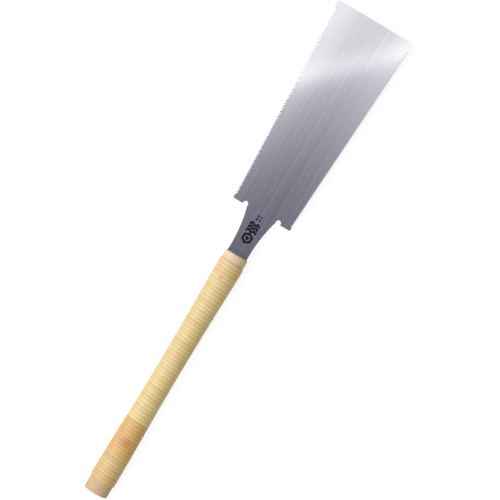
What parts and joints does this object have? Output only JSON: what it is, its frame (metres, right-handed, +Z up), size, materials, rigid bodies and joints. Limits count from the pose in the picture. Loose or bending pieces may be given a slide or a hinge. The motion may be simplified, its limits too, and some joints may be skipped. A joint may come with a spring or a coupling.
{
  "type": "hand saw",
  "caption": "Double-edged pull saw: a thin flared steel blade with rip teeth on one edge and crosscut teeth on the other, and a long rattan-wound wooden handle.",
  "frame": {"origin": "under the middle of the saw's length and width, on the surface that the handle's winding rests on when the saw lies flat", "axes": "+X from the butt of the handle to the toe of the blade, +Z up and square to the blade, +Y towards the coarse rip teeth (crosscut teeth on -Y)"},
  "size_m": [0.588, 0.094, 0.0256],
  "materials": {
    "spring_steel": "fine lengthwise grind lines, satin, thin clear rust-proofing film",
    "handle_wood": "planed pale softwood, unfinished",
    "rattan": "smooth rattan skin, low sheen, straw yellow",
    "rattan_amber": "smooth rattan skin, low sheen, orange-tinted"
  },
  "bodies": {
    "root": {"blade": "spring_steel", "handle_core_upper": "handle_wood", "handle_core_lower": "handle_wood", "rattan_strip_front": "rattan", "rattan_strip_butt": "rattan_amber"}
  },
  "joints": []
}
